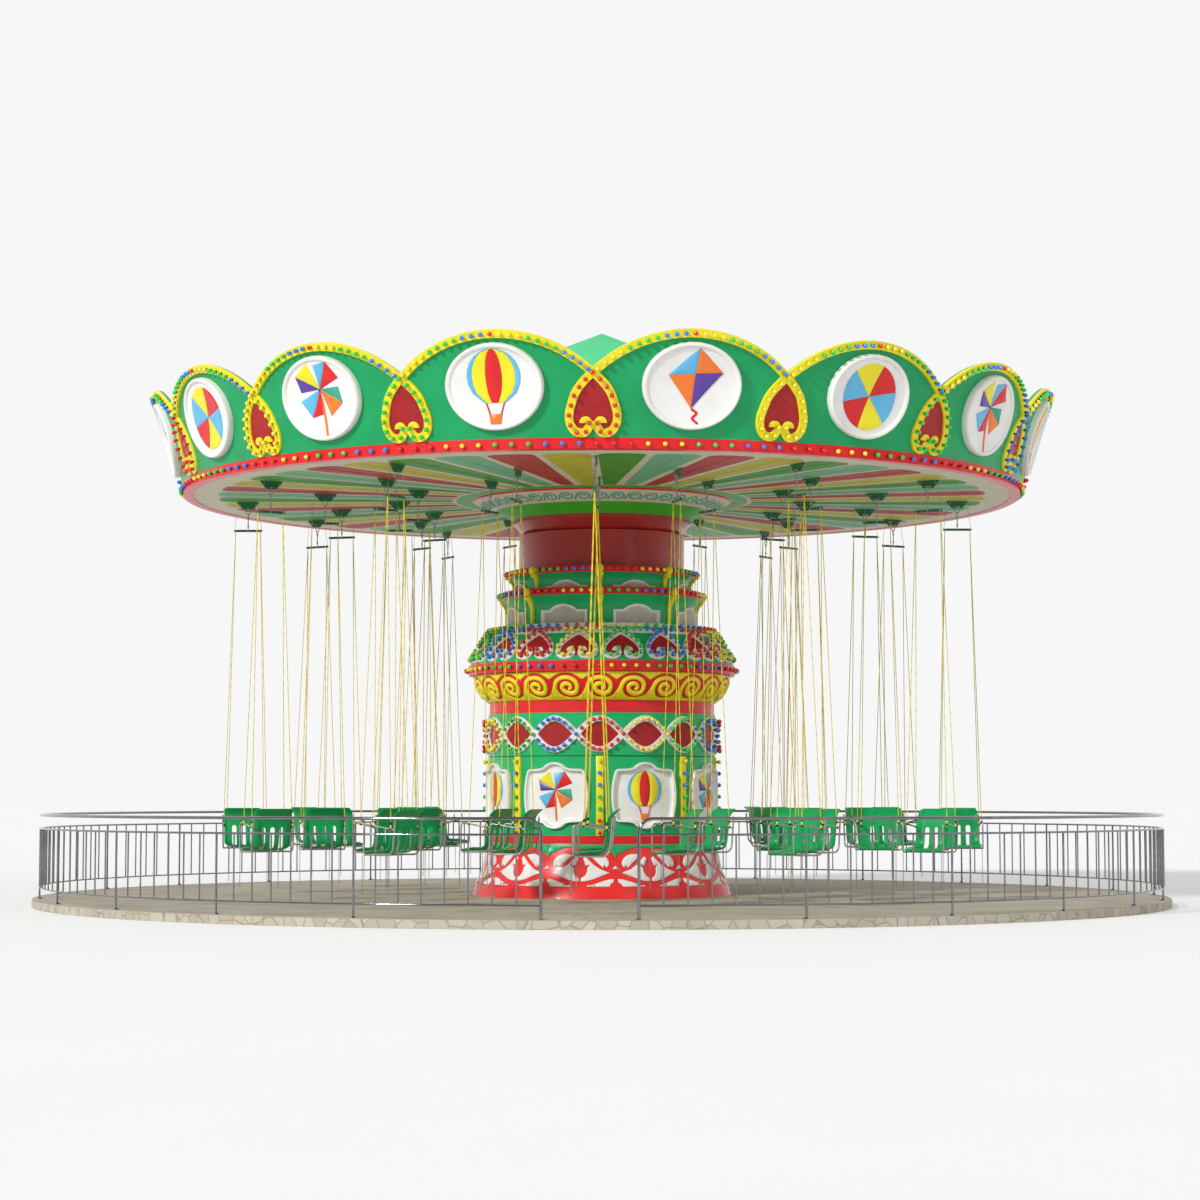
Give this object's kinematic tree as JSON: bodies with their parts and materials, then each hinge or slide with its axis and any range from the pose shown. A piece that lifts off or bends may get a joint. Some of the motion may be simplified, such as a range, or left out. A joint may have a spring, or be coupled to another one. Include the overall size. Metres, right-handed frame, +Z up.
{
  "type": "chair swing ride",
  "caption": "Round platform with a railed fence, a painted column and a turning crown from which chairs hang on ropes.",
  "frame": {"origin": "centre of the platform's underside, on the crown's turning axis", "axes": "+Z up along the turning axis; -Y towards the gate; +X to the right of someone who faces the gate from outside"},
  "size_m": [15.2, 15.2, 7.82],
  "materials": {
    "stone": "pale stone paving with fine joints",
    "fence_steel": "polished steel tube",
    "relief_paint": "white relief on red, gloss",
    "column_paint": "gloss green",
    "yellow_paint": "gloss yellow",
    "red_paint": "gloss red",
    "teal_paint": "gloss teal and cream",
    "cream_paint": "satin cream with painted wedges",
    "board_paint": "satin green",
    "seat_plastic": "moulded green seat"
  },
  "bodies": {
    "base": {"platform": "stone", "fence_panel_1": "fence_steel", "fence_panel_2": "fence_steel", "fence_panel_3": "fence_steel", "fence_panel_4": "fence_steel", "fence_panel_5": "fence_steel", "fence_panel_6": "fence_steel", "handrail": "fence_steel", "skirt": "relief_paint", "lower_drum": "column_paint", "upper_drum": "column_paint", "spiral_bowl": "yellow_paint", "bulb_band": "red_paint", "jewel_cone": "column_paint", "tier_2": "column_paint", "tier_1": "column_paint", "bearing_sleeve": "red_paint"},
    "crown": {"crown_hub": "red_paint", "neck_ring": "teal_paint", "ceiling": "cream_paint", "rim_band": "red_paint", "crown_boards": "board_paint", "roof": "board_paint"},
    "chair_outer_01_body": {"chair_outer_01": "seat_plastic"},
    "chair_outer_02_body": {"chair_outer_02": "seat_plastic"},
    "chair_outer_03_body": {"chair_outer_03": "seat_plastic"},
    "chair_outer_04_body": {"chair_outer_04": "seat_plastic"},
    "chair_outer_05_body": {"chair_outer_05": "seat_plastic"},
    "chair_outer_06_body": {"chair_outer_06": "seat_plastic"},
    "chair_outer_07_body": {"chair_outer_07": "seat_plastic"},
    "chair_outer_08_body": {"chair_outer_08": "seat_plastic"},
    "chair_outer_09_body": {"chair_outer_09": "seat_plastic"},
    "chair_outer_10_body": {"chair_outer_10": "seat_plastic"},
    "chair_outer_11_body": {"chair_outer_11": "seat_plastic"},
    "chair_outer_12_body": {"chair_outer_12": "seat_plastic"},
    "chair_middle_01_body": {"chair_middle_01": "seat_plastic"},
    "chair_middle_02_body": {"chair_middle_02": "seat_plastic"},
    "chair_middle_03_body": {"chair_middle_03": "seat_plastic"},
    "chair_middle_04_body": {"chair_middle_04": "seat_plastic"},
    "chair_middle_05_body": {"chair_middle_05": "seat_plastic"},
    "chair_middle_06_body": {"chair_middle_06": "seat_plastic"},
    "chair_middle_07_body": {"chair_middle_07": "seat_plastic"},
    "chair_middle_08_body": {"chair_middle_08": "seat_plastic"},
    "chair_middle_09_body": {"chair_middle_09": "seat_plastic"},
    "chair_middle_10_body": {"chair_middle_10": "seat_plastic"},
    "chair_middle_11_body": {"chair_middle_11": "seat_plastic"},
    "chair_middle_12_body": {"chair_middle_12": "seat_plastic"},
    "chair_inner_01_body": {"chair_inner_01": "seat_plastic"},
    "chair_inner_02_body": {"chair_inner_02": "seat_plastic"},
    "chair_inner_03_body": {"chair_inner_03": "seat_plastic"},
    "chair_inner_04_body": {"chair_inner_04": "seat_plastic"},
    "chair_inner_05_body": {"chair_inner_05": "seat_plastic"},
    "chair_inner_06_body": {"chair_inner_06": "seat_plastic"},
    "chair_inner_07_body": {"chair_inner_07": "seat_plastic"},
    "chair_inner_08_body": {"chair_inner_08": "seat_plastic"},
    "chair_inner_09_body": {"chair_inner_09": "seat_plastic"},
    "chair_inner_10_body": {"chair_inner_10": "seat_plastic"},
    "chair_inner_11_body": {"chair_inner_11": "seat_plastic"},
    "chair_inner_12_body": {"chair_inner_12": "seat_plastic"}
  },
  "joints": [
    {"name": "crown_spin", "type": "hinge", "parent": "base", "child": "crown", "pos_m": [0, 0, 4.95], "axis": [0, 0, 1], "continuous": true},
    {"name": "chair_outer_01_swing", "type": "hinge", "parent": "crown", "child": "chair_outer_01_body", "pos_m": [0, -4.88, 5.398], "axis": [-1, 0, 0], "range_deg": [-2, 26]},
    {"name": "chair_outer_02_swing", "type": "hinge", "parent": "crown", "child": "chair_outer_02_body", "pos_m": [2.44, -4.2262, 5.398], "axis": [-0.866, -0.5, 0], "range_deg": [-2, 26]},
    {"name": "chair_outer_03_swing", "type": "hinge", "parent": "crown", "child": "chair_outer_03_body", "pos_m": [4.2262, -2.44, 5.398], "axis": [-0.5, -0.866, 0], "range_deg": [-2, 26]},
    {"name": "chair_outer_04_swing", "type": "hinge", "parent": "crown", "child": "chair_outer_04_body", "pos_m": [4.88, 0, 5.398], "axis": [0, -1, 0], "range_deg": [-2, 26]},
    {"name": "chair_outer_05_swing", "type": "hinge", "parent": "crown", "child": "chair_outer_05_body", "pos_m": [4.2262, 2.44, 5.398], "axis": [0.5, -0.866, 0], "range_deg": [-2, 26]},
    {"name": "chair_outer_06_swing", "type": "hinge", "parent": "crown", "child": "chair_outer_06_body", "pos_m": [2.44, 4.2262, 5.398], "axis": [0.866, -0.5, 0], "range_deg": [-2, 26]},
    {"name": "chair_outer_07_swing", "type": "hinge", "parent": "crown", "child": "chair_outer_07_body", "pos_m": [0, 4.88, 5.398], "axis": [1, 0, 0], "range_deg": [-2, 26]},
    {"name": "chair_outer_08_swing", "type": "hinge", "parent": "crown", "child": "chair_outer_08_body", "pos_m": [-2.44, 4.2262, 5.398], "axis": [0.866, 0.5, 0], "range_deg": [-2, 26]},
    {"name": "chair_outer_09_swing", "type": "hinge", "parent": "crown", "child": "chair_outer_09_body", "pos_m": [-4.2262, 2.44, 5.398], "axis": [0.5, 0.866, 0], "range_deg": [-2, 26]},
    {"name": "chair_outer_10_swing", "type": "hinge", "parent": "crown", "child": "chair_outer_10_body", "pos_m": [-4.88, 0, 5.398], "axis": [0, 1, 0], "range_deg": [-2, 26]},
    {"name": "chair_outer_11_swing", "type": "hinge", "parent": "crown", "child": "chair_outer_11_body", "pos_m": [-4.2262, -2.44, 5.398], "axis": [-0.5, 0.866, 0], "range_deg": [-2, 26]},
    {"name": "chair_outer_12_swing", "type": "hinge", "parent": "crown", "child": "chair_outer_12_body", "pos_m": [-2.44, -4.2262, 5.398], "axis": [-0.866, 0.5, 0], "range_deg": [-2, 26]},
    {"name": "chair_middle_01_swing", "type": "hinge", "parent": "crown", "child": "chair_middle_01_body", "pos_m": [0.99128, -3.6995, 5.398], "axis": [-0.9659, -0.2588, 0], "range_deg": [-2, 21]},
    {"name": "chair_middle_02_swing", "type": "hinge", "parent": "crown", "child": "chair_middle_02_body", "pos_m": [2.70822, -2.70822, 5.398], "axis": [-0.7071, -0.7071, 0], "range_deg": [-2, 21]},
    {"name": "chair_middle_03_swing", "type": "hinge", "parent": "crown", "child": "chair_middle_03_body", "pos_m": [3.6995, -0.99128, 5.398], "axis": [-0.2588, -0.9659, 0], "range_deg": [-2, 21]},
    {"name": "chair_middle_04_swing", "type": "hinge", "parent": "crown", "child": "chair_middle_04_body", "pos_m": [3.6995, 0.99128, 5.398], "axis": [0.2588, -0.9659, 0], "range_deg": [-2, 21]},
    {"name": "chair_middle_05_swing", "type": "hinge", "parent": "crown", "child": "chair_middle_05_body", "pos_m": [2.70822, 2.70822, 5.398], "axis": [0.7071, -0.7071, 0], "range_deg": [-2, 21]},
    {"name": "chair_middle_06_swing", "type": "hinge", "parent": "crown", "child": "chair_middle_06_body", "pos_m": [0.99128, 3.6995, 5.398], "axis": [0.9659, -0.2588, 0], "range_deg": [-2, 21]},
    {"name": "chair_middle_07_swing", "type": "hinge", "parent": "crown", "child": "chair_middle_07_body", "pos_m": [-0.99128, 3.6995, 5.398], "axis": [0.9659, 0.2588, 0], "range_deg": [-2, 21]},
    {"name": "chair_middle_08_swing", "type": "hinge", "parent": "crown", "child": "chair_middle_08_body", "pos_m": [-2.70822, 2.70822, 5.398], "axis": [0.7071, 0.7071, 0], "range_deg": [-2, 21]},
    {"name": "chair_middle_09_swing", "type": "hinge", "parent": "crown", "child": "chair_middle_09_body", "pos_m": [-3.6995, 0.99128, 5.398], "axis": [0.2588, 0.9659, 0], "range_deg": [-2, 21]},
    {"name": "chair_middle_10_swing", "type": "hinge", "parent": "crown", "child": "chair_middle_10_body", "pos_m": [-3.6995, -0.99128, 5.398], "axis": [-0.2588, 0.9659, 0], "range_deg": [-2, 21]},
    {"name": "chair_middle_11_swing", "type": "hinge", "parent": "crown", "child": "chair_middle_11_body", "pos_m": [-2.70822, -2.70822, 5.398], "axis": [-0.7071, 0.7071, 0], "range_deg": [-2, 21]},
    {"name": "chair_middle_12_swing", "type": "hinge", "parent": "crown", "child": "chair_middle_12_body", "pos_m": [-0.99128, -3.6995, 5.398], "axis": [-0.9659, 0.2588, 0], "range_deg": [-2, 21]},
    {"name": "chair_inner_01_swing", "type": "hinge", "parent": "crown", "child": "chair_inner_01_body", "pos_m": [0, -2.79, 5.398], "axis": [-1, 0, 0], "range_deg": [-2, 16]},
    {"name": "chair_inner_02_swing", "type": "hinge", "parent": "crown", "child": "chair_inner_02_body", "pos_m": [1.395, -2.41621, 5.398], "axis": [-0.866, -0.5, 0], "range_deg": [-2, 16]},
    {"name": "chair_inner_03_swing", "type": "hinge", "parent": "crown", "child": "chair_inner_03_body", "pos_m": [2.41621, -1.395, 5.398], "axis": [-0.5, -0.866, 0], "range_deg": [-2, 16]},
    {"name": "chair_inner_04_swing", "type": "hinge", "parent": "crown", "child": "chair_inner_04_body", "pos_m": [2.79, 0, 5.398], "axis": [0, -1, 0], "range_deg": [-2, 16]},
    {"name": "chair_inner_05_swing", "type": "hinge", "parent": "crown", "child": "chair_inner_05_body", "pos_m": [2.41621, 1.395, 5.398], "axis": [0.5, -0.866, 0], "range_deg": [-2, 16]},
    {"name": "chair_inner_06_swing", "type": "hinge", "parent": "crown", "child": "chair_inner_06_body", "pos_m": [1.395, 2.41621, 5.398], "axis": [0.866, -0.5, 0], "range_deg": [-2, 16]},
    {"name": "chair_inner_07_swing", "type": "hinge", "parent": "crown", "child": "chair_inner_07_body", "pos_m": [0, 2.79, 5.398], "axis": [1, 0, 0], "range_deg": [-2, 16]},
    {"name": "chair_inner_08_swing", "type": "hinge", "parent": "crown", "child": "chair_inner_08_body", "pos_m": [-1.395, 2.41621, 5.398], "axis": [0.866, 0.5, 0], "range_deg": [-2, 16]},
    {"name": "chair_inner_09_swing", "type": "hinge", "parent": "crown", "child": "chair_inner_09_body", "pos_m": [-2.41621, 1.395, 5.398], "axis": [0.5, 0.866, 0], "range_deg": [-2, 16]},
    {"name": "chair_inner_10_swing", "type": "hinge", "parent": "crown", "child": "chair_inner_10_body", "pos_m": [-2.79, 0, 5.398], "axis": [0, 1, 0], "range_deg": [-2, 16]},
    {"name": "chair_inner_11_swing", "type": "hinge", "parent": "crown", "child": "chair_inner_11_body", "pos_m": [-2.41621, -1.395, 5.398], "axis": [-0.5, 0.866, 0], "range_deg": [-2, 16]},
    {"name": "chair_inner_12_swing", "type": "hinge", "parent": "crown", "child": "chair_inner_12_body", "pos_m": [-1.395, -2.41621, 5.398], "axis": [-0.866, 0.5, 0], "range_deg": [-2, 16]}
  ]
}
